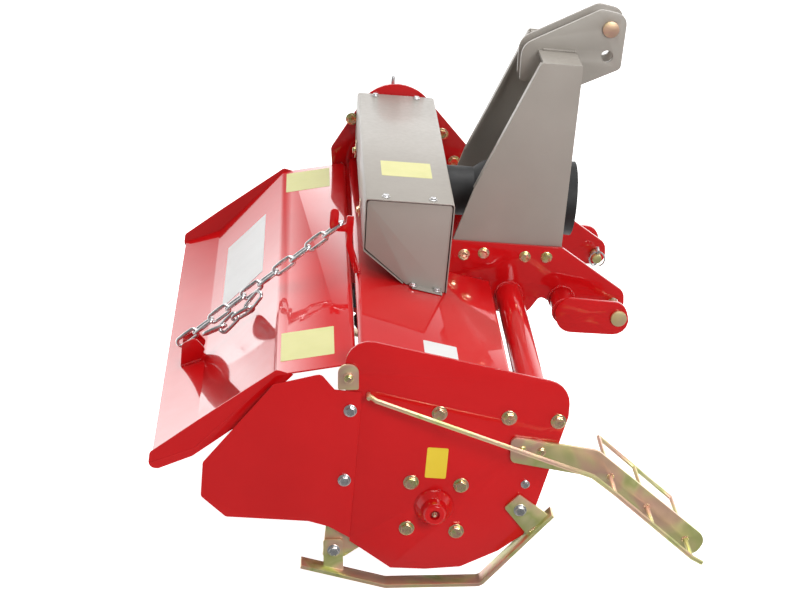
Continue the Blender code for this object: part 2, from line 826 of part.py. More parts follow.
def tail_line():
    """The tailgate's profile from its roll to its rear edge, about the hinge's axis."""
    hx, hz = TAIL_HINGE
    folds = [(x - hx, z - hz) for x, z in (TAIL_FOLD_TOP, TAIL_FOLD_LOW, TAIL_EDGE)]
    direction = math.degrees(math.atan2(folds[0][1], folds[0][0]))
    start = direction - 90
    curl = arc((0, 0), TAIL_ROLL_RADIUS, start - 270, start, 12)
    return curl + fillet([curl[-1]] + folds, 0.012)[1:]


def tailgate():
    inside = PLATE_THICK + TAIL_CLEARANCE
    made = folded_sheet("tailgate", tail_line(), inside, PLATE_SPAN - inside, SHEET, TAIL, RED)
    hx, hz = TAIL_HINGE
    end = rounded(
        [
            (-0.299 - hx, 0.260 - hz),
            (-0.333 - hx, 0.268 - hz, 0.010),
            (-0.481 - hx, 0.149 - hz, 0.020),
            (-0.571 - hx, 0.074 - hz, 0.010),
            (-0.573 - hx, 0.040 - hz, 0.014),
            (-0.552 - hx, 0.040 - hz, 0.004),
            (-0.486 - hx, 0.072 - hz, 0.020),
            (-0.398 - hx, 0.146 - hz, 0.010),
        ],
        4,
    )
    thick = 0.003
    for side in ("right", "left"):
        y = side_y(side, -inside - thick / 2 - 0.0005)
        panel = plate("tail_end_" + side, [end], y, thick, TAIL)
        join(made, panel)
    across("hinge_rod", hx, hz, 0, PLATE_SPAN, HINGE_ROD_RADIUS, BODY, ZINC, 12)


def ear_outline():
    hx, hz = TAIL_HINGE
    return rounded(
        [
            (-0.535 - hx, 0.0705 - hz),
            (-0.535 - hx, 0.121 - hz, 0.011),
            (-0.507 - hx, 0.137 - hz, 0.011),
            (-0.484 - hx, 0.114 - hz, 0.008),
            (-0.491 - hx, 0.0905 - hz),
        ]
    )


def chain_ears():
    """The two upright ears that the chain's lower end is pinned between."""
    gap = LINK_HALF_WIDTH + LINK_WIRE + EAR_CLEARANCE
    for name, sign in (("chain_ear_right", -1), ("chain_ear_left", 1)):
        y = CHAIN_Y + sign * (gap + EAR_THICK / 2)
        plate(name, [ear_outline()], y, EAR_THICK, TAIL, RED)


def chain_hook():
    """The upright strip on the hood's roll, with the J-shaped hook for the chain at its top."""
    x, z = CHAIN_HOOK
    slot = 0.0085
    outline = rounded(
        [
            (-0.160, DECK_TOP[1] + SHEET / 2 + JOINT_GAP),
            (-0.184, 0.372, 0.010),
            (-0.184, 0.432, 0.004),
            (x + slot, 0.432, 0.004),
            (x + slot, z - 0.006, 0.008),
            (x - slot, z - 0.006, 0.008),
            (x - slot, 0.446, 0.008),
            (-0.236, 0.446, 0.008),
            (-0.236, 0.396, 0.014),
            (-0.197, 0.396, 0.004),
            (-0.197, 0.366, 0.010),
            (-0.176, DECK_TOP[1] + SHEET / 2 + JOINT_GAP),
        ],
        3,
    )
    plate("chain_hook", [outline], CHAIN_Y, HOOK_THICK, BODY, RED)


def link_loop(flat):
    """The middle line of one link, lying along X and opened in Y, or in Z where it isn't flat."""
    straight = (LINK_INNER + LINK_WIRE * 2) / 2 - LINK_HALF_WIDTH
    ends = arc((straight, 0), LINK_HALF_WIDTH, -90, 90, 6) + arc((-straight, 0), LINK_HALF_WIDTH, 90, 270, 6)
    return [(x, w, 0) if flat else (x, 0, w) for x, w in ends]


def chain():
    """The taut chain: each link presses on the next, turned a quarter about the chain's line."""
    pitch = LINK_INNER + LINK_BITE
    first = (LINK_INNER + 2 * LINK_WIRE) / 2
    links = []
    for i in range(CHAIN_LINKS):
        name = "chain" if i == 0 else "link_%d" % (i + 1)
        centre = first + i * pitch
        loop = [(-(x + centre), y, z) for x, y, z in link_loop(i % 2 == 0)]
        links.append(ring_rod(name, loop, LINK_WIRE, CHAIN))
        links[-1].rotation_euler = (0, -CHAIN_DROP, 0)
    join(links[0], *links[1:])
    return frozen(links[0], ZINC)


# ---------------------------------------------------------------- skids and guards

def skid_line():
    rear_x, rear_rise = SKID_REAR
    front_x, front_rise = SKID_FRONT
    middle = -HUB_HEIGHT + SKID_THICK / 2
    points = [
        (rear_x, middle + rear_rise),
        (SKID_FLAT[0], middle),
        (SKID_FLAT[1], middle),
        (front_x, middle + front_rise),
    ]
    return fillet(points, 0.020)


def skid_z(x, line):
    """The middle of the skid bar at this x."""
    for (x0, z0), (x1, z1) in zip(line, line[1:]):
        if x0 <= x <= x1:
            return z0 + (z1 - z0) * (x - x0) / (x1 - x0)
    return line[0][1]


def skids():
    tab = 0.006
    line = skid_line()
    for side in ("right", "left"):
        edge = (side_y(side, SKID_WIDTH / 2), side_y(side, -SKID_WIDTH / 2))
        made = folded_sheet("skid_" + side, line, min(edge), max(edge), SKID_THICK, LEVEL, GOLD)
        y = side_y(side, JOINT_GAP + tab / 2)
        front = rounded(
            [
                (0.141, -0.003, 0.005),
                (0.171, 0.026, 0.005),
                (0.232, skid_z(0.232, line)),
                (0.190, skid_z(0.190, line)),
            ],
            3,
        )
        front_tab = plate("front_tab_" + side, [front], y, tab, LEVEL)
        rear = rounded(
            [
                (-0.222, skid_z(-0.222, line)),
                (-0.222, -0.070, 0.006),
                (-0.182, -0.070, 0.006),
                (-0.182, skid_z(-0.182, line)),
            ],
            3,
        )
        rear_tab = plate("rear_tab_" + side, [rear], side_y(side, -PLATE_THICK / 2), PLATE_THICK - 0.001, LEVEL)
        join(made, front_tab, rear_tab)
        hanger_outline = rounded(
            [
                (-0.224, -0.110, 0.004),
                (-0.215, -0.030, 0.004),
                (-0.125, -0.020, 0.004),
                (-0.140, -0.085, 0.004),
                (-0.180, -0.112, 0.004),
            ],
            3,
        )
        y = side_y(side, -PLATE_THICK - JOINT_GAP - 0.0025)
        plate("skid_hanger_" + side, [hanger_outline], y, 0.005, LEVEL, GOLD)


def guard_point(share, drop=0.0):
    """A point along the arm's lower run, this share of the way from bend to tip."""
    place = ARM_BEND.lerp(ARM_TIP, share)
    return place.x, place.y - drop


def side_guards():
    """The flat arm with three rungs through it, the long outer rod, and the inner rail."""
    arm = rounded(
        [
            (0.138, 0.166, 0.012),
            (0.315, 0.148, 0.030),
            (0.556, -0.030, 0.022),
            (0.534, -0.078, 0.022),
            (0.304, 0.092, 0.030),
            (0.142, 0.112, 0.012),
        ]
    )
    for side in ("right", "left"):
        y = side_y(side, JOINT_GAP + ARM_THICK / 2)
        made = plate("side_guard_" + side, [arm], y, ARM_THICK, BODY, GOLD)
        outer_y = side_y(side, GUARD_OUT)
        inner_y = side_y(side, -GUARD_IN)
        pieces = []
        for i, share in enumerate(RUNG_PLACES):
            x, z = guard_point(share)
            start, end = sorted((outer_y, inner_y))
            pieces.append(rod("rung_%d_%s" % (i, side), [(x, start, z), (x, end, z)], GUARD_ROD * 0.95, BODY))
        x0, z0 = guard_point(RUNG_PLACES[0])
        x1, z1 = guard_point(RUNG_PLACES[-1])
        pieces.append(rod("rail_" + side, [(x0, inner_y, z0), (x1, inner_y, z1)], GUARD_ROD, BODY))
        near = side_y(side, JOINT_GAP + GUARD_ROD + 0.002)
        reach = side_y(side, 0.024)
        x2, z2 = guard_point(1.0, -0.006)
        root_x, root_z = ROD_ROOTS[side]
        outer = [
            (root_x, near, root_z),
            (root_x + 0.015, reach, root_z - 0.004),
            (0.190, side_y(side, 0.074), 0.155),
            (0.296, outer_y, 0.128),
            (x0, outer_y, z0),
            (x1, outer_y, z1),
            (x2, outer_y, z2),
        ]
        if side == "right":
            outer.insert(2, (0.020, side_y(side, 0.050), 0.196))
        long_rod = rod("outer_rod_" + side, outer, GUARD_ROD, BODY)
        root = (root_x, side_y(side, JOINT_GAP), root_z)
        foot = rod("rod_foot_" + side, [root, (root_x, reach, root_z)], GUARD_ROD * 0.9, BODY)
        join(made, *pieces, long_rod, foot)


# ---------------------------------------------------------------- the whole machine

def stand_on_origin():
    """Moves the machine so that its box stands on the origin, centred over it."""
    bpy.context.view_layer.update()
    graph = bpy.context.evaluated_depsgraph_get()
    places = []
    for thing in PARTS.objects:
        if thing.type == "EMPTY":
            continue
        shaped = thing.evaluated_get(graph)
        mesh = shaped.to_mesh()
        places += [shaped.matrix_world @ vertex.co for vertex in mesh.vertices]
        shaped.to_mesh_clear()
    low = [min(place[i] for place in places) for i in range(3)]
    high = [max(place[i] for place in places) for i in range(3)]
    ORIGIN.location = (-(low[0] + high[0]) / 2, -(low[1] + high[1]) / 2, -low[2])


clear_scene()
PARTS = collection("rotary_tiller")
CUTTERS = collection("cutters")
ORIGIN = empty("machine", None)
LEVEL = empty("level_frame", ORIGIN, (0, 0, HUB_HEIGHT))
BODY = empty("body_frame", LEVEL, turn=(0, NOSE_DOWN, 0))
ROTOR = empty("rotor_axis", BODY)
INPUT = empty("input_axis", BODY, (0, HITCH_MIDDLE, INPUT_Z))
TAIL = empty("tailgate_axis", BODY, (TAIL_HINGE[0], 0, TAIL_HINGE[1]))
CHAIN = empty("chain_axis", BODY, (CHAIN_HOOK[0], CHAIN_Y, CHAIN_HOOK[1]))

side_plates()
hood()
hub()
deflectors()
hinge_clips()
chain_case()
transmission_cover()
gearbox()
pto_guard()
pto_shaft()
hitch_brackets()
lower_clevises()
lower_pins()
frame_tube()
mast()
upper_clevis()
rotor()
tailgate()
chain_ears()
chain_hook()
chain()
skids()
side_guards()
stand_on_origin()
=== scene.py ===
# %% [markdown]
# # A rotary tiller, piece by piece
# The machine is a light tractor implement: a red hood with a bladed rotor under it, a side drive, a grey
# mast for the tractor's linkage, a hinged tailgate on a chain, and plated skids and end guards.
# The solid model comes first, as a fixed frame.  Everything below gives it its finish and its small parts.

# %% Load the frame
import json
import math
import bmesh
import bpy
from mathutils import Matrix, Vector

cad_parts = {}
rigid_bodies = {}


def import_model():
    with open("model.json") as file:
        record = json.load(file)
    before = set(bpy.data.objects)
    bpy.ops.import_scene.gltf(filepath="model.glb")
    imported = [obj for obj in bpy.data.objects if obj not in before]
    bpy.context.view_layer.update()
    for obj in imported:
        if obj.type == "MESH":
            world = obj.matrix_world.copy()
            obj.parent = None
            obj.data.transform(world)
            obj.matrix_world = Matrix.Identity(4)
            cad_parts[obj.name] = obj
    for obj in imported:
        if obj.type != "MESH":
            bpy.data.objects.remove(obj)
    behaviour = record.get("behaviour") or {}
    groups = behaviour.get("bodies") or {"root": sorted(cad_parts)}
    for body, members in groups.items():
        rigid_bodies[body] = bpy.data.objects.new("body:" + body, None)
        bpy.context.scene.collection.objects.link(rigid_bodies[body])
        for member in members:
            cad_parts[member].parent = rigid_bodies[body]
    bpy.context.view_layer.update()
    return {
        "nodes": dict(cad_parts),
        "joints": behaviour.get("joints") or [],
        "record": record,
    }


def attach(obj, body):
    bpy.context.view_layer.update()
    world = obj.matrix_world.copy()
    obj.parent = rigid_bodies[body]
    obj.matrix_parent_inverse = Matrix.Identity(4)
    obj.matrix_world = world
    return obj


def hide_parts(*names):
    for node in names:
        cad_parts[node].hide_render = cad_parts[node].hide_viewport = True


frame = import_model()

# %% [markdown]
# The machine is parked a few degrees nose down, with its skids level.  Its own square frame starts at the
# rotor's axis, at the outer face of the right side plate, and its forward direction is the input shaft's.
# A small function turns a place on the machine into a place in the room.

# %% The machine's own square frame
joints = {joint["name"]: joint for joint in frame["joints"]}
forward = Vector(joints["input_spin"]["axis"]).normalized()
left = Vector((0, 1, 0))
upward = forward.cross(left)
hub_place = Vector(joints["rotor_spin"]["pos_m"])
machine = Matrix.Translation(hub_place) @ Matrix((forward, left, upward)).transposed().to_4x4()
level = Matrix.Translation(hub_place)
RIGHT, LEFT = Vector((0, -1, 0)), Vector((0, 1, 0))
SPAN = 1.333          # outer face to outer face of the side plates
PLATE = 0.006
print("nose down by", round(math.degrees(math.asin(-forward.z)), 1), "degrees")


def at(x, y, z):
    """A place on the machine, as a place in the room."""
    return machine @ Vector((x, y, z))


# %% [markdown]
# An operator in Blender acts on all that is selected, so each step starts from an empty selection.
# In edit mode, vertices and faces are then picked by their place or their normal, as a hand would click them.

# %% Choosing things
def choose(*pieces):
    """Object mode, with only these objects selected and the first one active."""
    if bpy.context.mode != "OBJECT":
        bpy.ops.object.mode_set(mode="OBJECT")
    bpy.ops.object.select_all(action="DESELECT")
    for piece in pieces:
        piece.select_set(True)
    bpy.context.view_layer.objects.active = pieces[0] if pieces else None


def open_mesh(piece, kind="FACE"):
    choose(piece)
    bpy.ops.object.mode_set(mode="EDIT")
    bpy.ops.mesh.select_mode(type=kind)
    bpy.ops.mesh.select_all(action="DESELECT")


def pick(piece, test, kind="FACE"):
    """Selects the faces or vertices of the open mesh that pass the test."""
    mesh = bmesh.from_edit_mesh(piece.data)
    for item in mesh.faces if kind == "FACE" else mesh.verts:
        item.select = bool(test(item))
    mesh.select_flush_mode()
    bmesh.update_edit_mesh(piece.data)


def close_mesh():
    bpy.ops.object.mode_set(mode="OBJECT")


# %% [markdown]
# A finished piece keeps its place in its mesh, has one finish, and rides on the body that it is bolted or
# welded to.  What repeats is modelled once at the origin, standing on +Z, and then copied to each place.

# %% Finishing and copying
def settle(piece):
    """Moves the object's place and turn into its mesh."""
    choose(piece)
    bpy.ops.object.transform_apply(location=True, rotation=True, scale=True)


def soften(piece, width, angle=32):
    choose(piece)
    edge = piece.modifiers.new("edge", "BEVEL")
    edge.width = width
    edge.segments = 2
    edge.limit_method = "ANGLE"
    edge.angle_limit = math.radians(angle)
    bpy.ops.object.modifier_apply(modifier=edge.name)
    bpy.ops.object.shade_smooth_by_angle(angle=math.radians(angle))


def finish(piece, name, look, slot, body, *stands_for):
    piece.name = piece.data.name = name
    piece.data.materials.clear()
    piece.data.materials.append(look)
    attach(piece, body)
    if stands_for:
        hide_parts(*stands_for)
    return piece


def joined(pieces):
    choose(*pieces)
    if len(pieces) > 1:
        bpy.ops.object.join()
    return bpy.context.view_layer.objects.active


def facing(place, direction, turn=0.0):
    """The matrix that stands a shape on this place, with its +Z along the direction."""
    swing = direction.to_track_quat("Z", "Y").to_matrix().to_4x4()
    return Matrix.Translation(place) @ swing @ Matrix.Rotation(turn, 4, "Z")


def copies(pattern, places):
    """One piece made of copies of the pattern, each with its own mesh."""
    made = []
    for place in places:
        twin = pattern.copy()
        twin.data = pattern.data.copy()
        bpy.context.scene.collection.objects.link(twin)
        twin.data.transform(place)
        made.append(twin)
    return joined(made)


def discard(*pieces):
    for piece in pieces:
        bpy.data.objects.remove(piece, do_unlink=True)


# %% [markdown]
# ## Finishes
# Each finish is a small node tree on a Principled shader.  Noise read in Object coordinates varies the
# colour, the roughness and a fine bump.  Values that are the same all over are set on the shader itself.

# %% Node helpers
def new_look(name, **fixed):
    look = bpy.data.materials.new(name)
    look.use_nodes = True
    shader = look.node_tree.nodes["Principled BSDF"]
    for socket, value in fixed.items():
        shader.inputs[socket.replace("_", " ")].default_value = value
    return look, look.node_tree, shader


def noise(tree, scale, detail=4.0, distortion=0.0, stretch=None):
    coordinates = tree.nodes.new("ShaderNodeTexCoord")
    source = coordinates.outputs["Object"]
    if stretch:
        mapping = tree.nodes.new("ShaderNodeMapping")
        mapping.inputs["Scale"].default_value = stretch
        tree.links.new(source, mapping.inputs["Vector"])
        source = mapping.outputs["Vector"]
    texture = tree.nodes.new("ShaderNodeTexNoise")
    texture.inputs["Scale"].default_value = scale
    texture.inputs["Detail"].default_value = detail
    texture.inputs["Distortion"].default_value = distortion
    tree.links.new(source, texture.inputs["Vector"])
    return texture.outputs["Fac"]


def colours(tree, value, stops, socket):
    ramp = tree.nodes.new("ShaderNodeValToRGB")
    while len(ramp.color_ramp.elements) < len(stops):
        ramp.color_ramp.elements.new(0.5)
    for element, (position, colour) in zip(ramp.color_ramp.elements, stops):
        element.position = position
        element.color = (*colour, 1.0)
    tree.links.new(value, ramp.inputs["Fac"])
    tree.links.new(ramp.outputs["Color"], socket)


def spread(tree, value, low, high, socket):
    """Stretches the middle of a noise to run from low to high."""
    span = tree.nodes.new("ShaderNodeMapRange")
    span.inputs["From Min"].default_value = 0.3
    span.inputs["From Max"].default_value = 0.7
    span.inputs["To Min"].default_value = low
    span.inputs["To Max"].default_value = high
    tree.links.new(value, span.inputs["Value"])
    tree.links.new(span.outputs["Result"], socket)


def relief(tree, shader, value, strength, depth):
    bump = tree.nodes.new("ShaderNodeBump")
    bump.inputs["Strength"].default_value = strength
    bump.inputs["Distance"].default_value = depth
    tree.links.new(value, bump.inputs["Height"])
    tree.links.new(bump.outputs["Normal"], shader.inputs["Normal"])


# %% [markdown]
# Red enamel is sprayed on thick and bakes to a hard gloss.  A clear coat gives the mirror that shows on the
# tailgate, and a very faint orange peel keeps that mirror from looking like glass.

# %% Red enamel
red, tree, shader = new_look(
    "red_enamel", Coat_Weight=1.0, Coat_Roughness=0.04, Coat_IOR=1.6, Specular_IOR_Level=0.08
)
reds = [(0.3, (0.56, 0.0035, 0.005)), (0.7, (0.62, 0.005, 0.007))]
colours(tree, noise(tree, 5, 3), reds, shader.inputs["Base Color"])
spread(tree, noise(tree, 12), 0.28, 0.34, shader.inputs["Roughness"])
relief(tree, shader, noise(tree, 70, 1), 0.004, 0.0002)
print("made", red.name)

# %% [markdown]
# The mast and the drive's cover have a warm grey paint with less gloss.

# %% Grey enamel
grey, tree, shader = new_look("grey_enamel", Coat_Weight=0.25, Coat_Roughness=0.18)
greys = [(0.3, (0.335, 0.305, 0.268)), (0.7, (0.370, 0.338, 0.300))]
colours(tree, noise(tree, 7, 5), greys, shader.inputs["Base Color"])
spread(tree, noise(tree, 90), 0.38, 0.50, shader.inputs["Roughness"])
relief(tree, shader, noise(tree, 520, 3), 0.05, 0.0003)
print("made", grey.name)

# %% [markdown]
# Yellow zinc plating is a thin clear film over bright zinc.  Where the film is thicker or thinner it turns
# from gold to green or to a coppery pink, in soft patches some centimetres wide.  The bolts are machined, so
# they are brighter than the bent strip, and their patches are smaller.

# %% Yellow zinc
def plated(name, patch, metal, low, high):
    look, tree, shader = new_look(name, Metallic=metal, Coat_Weight=0.3, Coat_Roughness=0.12)
    film = noise(tree, patch, 2.0, 1.4)
    stops = [
        (0.30, (0.80, 0.76, 0.42)),
        (0.39, (0.60, 0.62, 0.24)),
        (0.46, (0.80, 0.70, 0.36)),
        (0.53, (0.84, 0.58, 0.38)),
        (0.61, (0.80, 0.50, 0.38)),
        (0.70, (0.84, 0.72, 0.42)),
    ]
    colours(tree, film, stops, shader.inputs["Base Color"])
    spread(tree, noise(tree, 45, 5), low, high, shader.inputs["Roughness"])
    relief(tree, shader, noise(tree, 260, 4, 0, (1, 1, 5)), 0.06, 0.0003)
    return look


gold = plated("yellow_zinc_sheet", 6, 0.75, 0.30, 0.44)
gold_small = plated("yellow_zinc_bolts", 38, 0.90, 0.20, 0.32)
print("made", gold.name, "and", gold_small.name)

# %% [markdown]
# Bright zinc is bluish white metal with a fine cloudy bloom.  The chain, the pins' clips and the small
# screws have it, and the input shaft is plain ground steel close to it.

# %% Bright zinc and steel
def bare_metal(name, dark, light, low, high, grain):
    look, tree, shader = new_look(name, Metallic=1.0)
    colours(tree, noise(tree, 70, 4), [(0.3, dark), (0.7, light)], shader.inputs["Base Color"])
    spread(tree, noise(tree, 130, 4), low, high, shader.inputs["Roughness"])
    relief(tree, shader, noise(tree, grain, 4), 0.08, 0.0003)
    return look


zinc = bare_metal("bright_zinc", (0.66, 0.66, 0.67), (0.86, 0.86, 0.86), 0.20, 0.36, 500)
steel = bare_metal("ground_steel", (0.42, 0.42, 0.43), (0.58, 0.58, 0.58), 0.22, 0.36, 700)
cast = bare_metal("grey_casting", (0.05, 0.05, 0.05), (0.09, 0.085, 0.08), 0.50, 0.68, 240)
cast.node_tree.nodes["Principled BSDF"].inputs["Metallic"].default_value = 0.5
print("made", zinc.name, steel.name, cast.name)

# %% [markdown]
# The rotor is dipped in black paint, the shaft's guard is moulded plastic with a fine grain, and the labels
# are printed film, left blank here.

# %% Black paint, plastic and label film
def dull(name, dark, light, low, high, grain, depth):
    look, tree, shader = new_look(name)
    colours(tree, noise(tree, 12, 4), [(0.3, dark), (0.7, light)], shader.inputs["Base Color"])
    spread(tree, noise(tree, 80), low, high, shader.inputs["Roughness"])
    relief(tree, shader, noise(tree, grain, 3), 0.15, depth)
    return look


black = dull("black_paint", (0.008, 0.008, 0.009), (0.018, 0.018, 0.019), 0.28, 0.42, 300, 0.0005)
plastic = dull("black_plastic", (0.012, 0.012, 0.013), (0.020, 0.020, 0.021), 0.50, 0.62, 900, 0.0004)
pale_label = dull("pale_yellow_film", (0.62, 0.60, 0.24), (0.68, 0.65, 0.28), 0.40, 0.48, 700, 0.0001)
yellow_label = dull("yellow_film", (0.78, 0.56, 0.02), (0.82, 0.60, 0.03), 0.36, 0.44, 700, 0.0001)
white_label = dull("white_film", (0.70, 0.70, 0.69), (0.74, 0.74, 0.73), 0.36, 0.44, 700, 0.0001)
print("made five dull finishes")

# %% [markdown]
# ## Sheet metal and castings
# Real sheet and plate never has a knife edge: the press and the paint round it, and that thin round catches
# the light.  Each solid is copied, its loose triangles are merged and its flat faces are made whole, and a
# small bevel then runs round every edge.

# %% Which finish each solid has
LOOKS = {
    "red_paint": red,
    "grey_paint": grey,
    "black_paint": black,
    "black_plastic": plastic,
    "yellow_zinc": gold,
    "bright_zinc": zinc,
    "grey_casting": cast,
}
MODELLED_AGAIN = {"chain", "pto_shaft"}
THIN_EDGE, THICK_EDGE = 0.0006, 0.0012
THICK = ("bracket", "clevis", "mast", "guard", "skid", "gearbox", "blade", "frame_tube", "hub", "case", "pin")
slot_of = {part["node"]: part["material_slot"] for part in frame["record"]["subparts"]}
body_of = {node: body for body, nodes in frame["record"]["behaviour"]["bodies"].items() for node in nodes}
print(sorted(set(slot_of.values())))


# %% Copies with rounded edges
def rounded_copy(node):
    piece = bpy.data.objects.new(node + "_finished", frame["nodes"][node].data.copy())
    bpy.context.scene.collection.objects.link(piece)
    choose(piece)
    bpy.ops.mesh.customdata_custom_splitnormals_clear()
    bpy.ops.object.mode_set(mode="EDIT")
    bpy.ops.mesh.select_all(action="SELECT")
    bpy.ops.mesh.remove_doubles(threshold=0.00002)
    bpy.ops.mesh.dissolve_limited(angle_limit=math.radians(0.5))
    close_mesh()
    soften(piece, THICK_EDGE if any(word in node for word in THICK) else THIN_EDGE)
    slot = slot_of[node]
    return finish(piece, node + "_finished", LOOKS[slot], slot, body_of[node], node)


for node in sorted(set(slot_of) - MODELLED_AGAIN):
    rounded_copy(node)
print(len(slot_of) - len(MODELLED_AGAIN), "solids finished")

# %% [markdown]
# ## Bolts
# Most joints are held by flanged bolts: a thin round flange under a hexagon whose top is chamfered.  Each of
# three sizes is modelled from a cylinder and a six-sided prism.  Their copies are joined plate by plate.

# %% One flanged bolt
def flanged_bolt(flange, height):
    """A bolt head standing on +Z, with this flange radius and this height over all."""
    choose()
    bpy.ops.mesh.primitive_cylinder_add(vertices=32, radius=flange, depth=0.0022, location=(0, 0, 0.0011))
    base = bpy.context.object
    open_mesh(base)
    pick(base, lambda face: face.normal.z > 0.9)
    bpy.ops.mesh.inset(thickness=flange * 0.16)
    bpy.ops.transform.translate(value=(0, 0, 0.0007))
    close_mesh()
    choose()
    bpy.ops.mesh.primitive_cylinder_add(
        vertices=6, radius=flange * 0.80, depth=height - 0.001, location=(0, 0, 0.001 + (height - 0.001) / 2)
    )
    head = bpy.context.object
    open_mesh(head)
    pick(head, lambda face: face.normal.z > 0.9)
    bpy.ops.mesh.inset(thickness=flange * 0.09)
    bpy.ops.transform.translate(value=(0, 0, height * 0.10))
    bpy.ops.mesh.inset(thickness=flange * 0.26)
    bpy.ops.transform.translate(value=(0, 0, -height * 0.14))
    close_mesh()
    settle(base)
    settle(head)
    bolt = joined([base, head])
    soften(bolt, 0.0003, 24)
    return bolt


big_bolt = flanged_bolt(0.0155, 0.0095)
mid_bolt = flanged_bolt(0.0130, 0.0085)
small_bolt = flanged_bolt(0.0090, 0.0060)
print("a bolt has", len(big_bolt.data.polygons), "faces")


# %% Bolts in rows
def bolts(name, pattern, look, slot, body, places, direction):
    """Bolts on a plate: places are (x, y, z) on the machine, each turned a little differently."""
    out = machine.to_3x3() @ direction
    spots = [facing(at(*place), out, 0.35 * number * number) for number, place in enumerate(places)]
    return finish(copies(pattern, spots), name, look, slot, body)


DEFLECTOR_FACE = 0.0033
plate_rows = [(-0.007, 0.204), (0.131, 0.204), (0.229, 0.203)]
hub_rows = [(x, z) for x in (-0.050, 0.050) for z in (-0.051, 0.051)]
bolts("bolts_right_plate", big_bolt, gold_small, "yellow_zinc", "frame",
      [(x, 0, z) for x, z in plate_rows + hub_rows], RIGHT)
bolts("bolts_left_plate", big_bolt, gold_small, "yellow_zinc", "frame",
      [(x, SPAN, z) for x, z in plate_rows[1:]], LEFT)
bolts("bolts_left_inside", big_bolt, gold_small, "yellow_zinc", "frame",
      [(-0.172, SPAN - PLATE, 0.407), (0.057, SPAN - PLATE, 0.385), (0.094, SPAN - PLATE, 0.315)], RIGHT)
for side, y, direction in (("right", -DEFLECTOR_FACE, RIGHT), ("left", SPAN + DEFLECTOR_FACE, LEFT)):
    bolts("bolts_deflector_" + side, mid_bolt, zinc, "bright_zinc", "frame",
          [(-0.183, y, 0.199), (-0.183, y, 0.048)], direction)
    bolts("screw_plate_" + side, small_bolt, zinc, "bright_zinc", "frame",
          [(0.178, 0 if side == "right" else SPAN, 0.062)], direction)
print("plates bolted")

# %% [markdown]
# The hitch brackets are bolted to the mast through their upper edge, with nuts on the inside.  The skids
# are held by one screw at each tab, and the guards' arms by two bolts.

# %% Bolts of hitch, skids and guards
HITCH_MIDDLE, HITCH_HALF = 0.865, 0.170
bracket_row = [(0.079, 0.292), (0.123, 0.299), (0.217, 0.297), (0.266, 0.299)]
for side, sign, direction in (("right", -1, RIGHT), ("left", 1, LEFT)):
    outer = HITCH_MIDDLE + sign * HITCH_HALF
    inner = HITCH_MIDDLE + sign * (HITCH_HALF - 0.0183)
    bolts("bolts_bracket_" + side, mid_bolt, gold_small, "yellow_zinc", "frame",
          [(x, outer, z) for x, z in bracket_row], direction)
    bolts("nuts_bracket_" + side, mid_bolt, gold_small, "yellow_zinc", "frame",
          [(x, inner, z) for x, z in bracket_row], -direction)
    face = 0 if side == "right" else SPAN
    arm_face = face + sign * 0.0083
    bolts("bolts_guard_" + side, small_bolt, gold_small, "yellow_zinc", "frame",
          [(0.162, arm_face, 0.139), (0.201, arm_face, 0.139)], direction)
    tab = face + sign * 0.0063
    level_places = [(0.173, tab, -0.008), (-0.201, face - sign * 0.0005, -0.094)]
    spots = [facing(level @ Vector(place), direction, 0.4) for place in level_places]
    finish(copies(mid_bolt, spots), "screws_skid_" + side, zinc, "bright_zinc", "frame")
    clip = face + sign * 0.0123
    bolts("bolt_clip_" + side, small_bolt, gold_small, "yellow_zinc", "frame",
          [(-0.192, clip, 0.270)], direction)
print("hitch, skids and guards bolted")

# %% [markdown]
# The drive's cover is screwed down: two screws near each end of its top, and two through the end wall's foot.
# A plated strap holds the foot of its back wall at each end.

# %% Screws and straps of the cover
COVER_TOP = 0.47825
UP = Vector((0, 0, 1))
BACK = Vector((-1, 0, 0))
SCREW_FEET = [(-0.046, 0.472, 0.2915), (0.006, 0.472, 0.2829)]
STRAP_PLACES = {"right": 0.700, "left": 1.150}
bolts("screws_cover_top", small_bolt, zinc, "bright_zinc", "frame",
      [(x, y, COVER_TOP) for x in (-0.120, -0.018) for y in (0.500, 1.298)], UP)
bolts("screws_cover_foot", small_bolt, zinc, "bright_zinc", "frame", SCREW_FEET, UP)
bolts("bolts_cover_back", small_bolt, gold_small, "yellow_zinc", "frame",
      [(-0.1650, y, 0.379) for y in STRAP_PLACES.values()], BACK)
for name, y in STRAP_PLACES.items():
    choose()
    bpy.ops.mesh.primitive_cube_add(size=1.0)
    strap = bpy.context.object
    bpy.ops.transform.resize(value=(0.0016, 0.026, 0.040))
    settle(strap)
    soften(strap, 0.0005)
    strap.data.transform(machine @ Matrix.Translation((-0.1644, y, 0.383)))
    finish(strap, "cover_strap_" + name, gold_small, "yellow_zinc", "frame")
print("cover screwed down")
discard(big_bolt)

# %% [markdown]
# ## Hub
# The bearing housing is greased through a small nipple at its centre: a hexagon with a domed ball end.

# %% Grease nipple
choose()
bpy.ops.mesh.primitive_cylinder_add(vertices=6, radius=0.0058, depth=0.006, location=(0, 0, 0.003))
nut = bpy.context.object
choose()
bpy.ops.mesh.primitive_uv_sphere_add(segments=20, ring_count=12, radius=0.0034, location=(0, 0, 0.0105))
ball = bpy.context.object
choose()
bpy.ops.mesh.primitive_cone_add(
    vertices=20, radius1=0.0040, radius2=0.0022, depth=0.005, location=(0, 0, 0.0075)
)
neck = bpy.context.object
for shape in (nut, ball, neck):
    settle(shape)
nipple = joined([nut, ball, neck])
soften(nipple, 0.0003)
nipple.data.transform(facing(at(0, -0.0303, 0), RIGHT))
finish(nipple, "grease_nipple", gold_small, "yellow_zinc", "frame")
print("nipple in place")

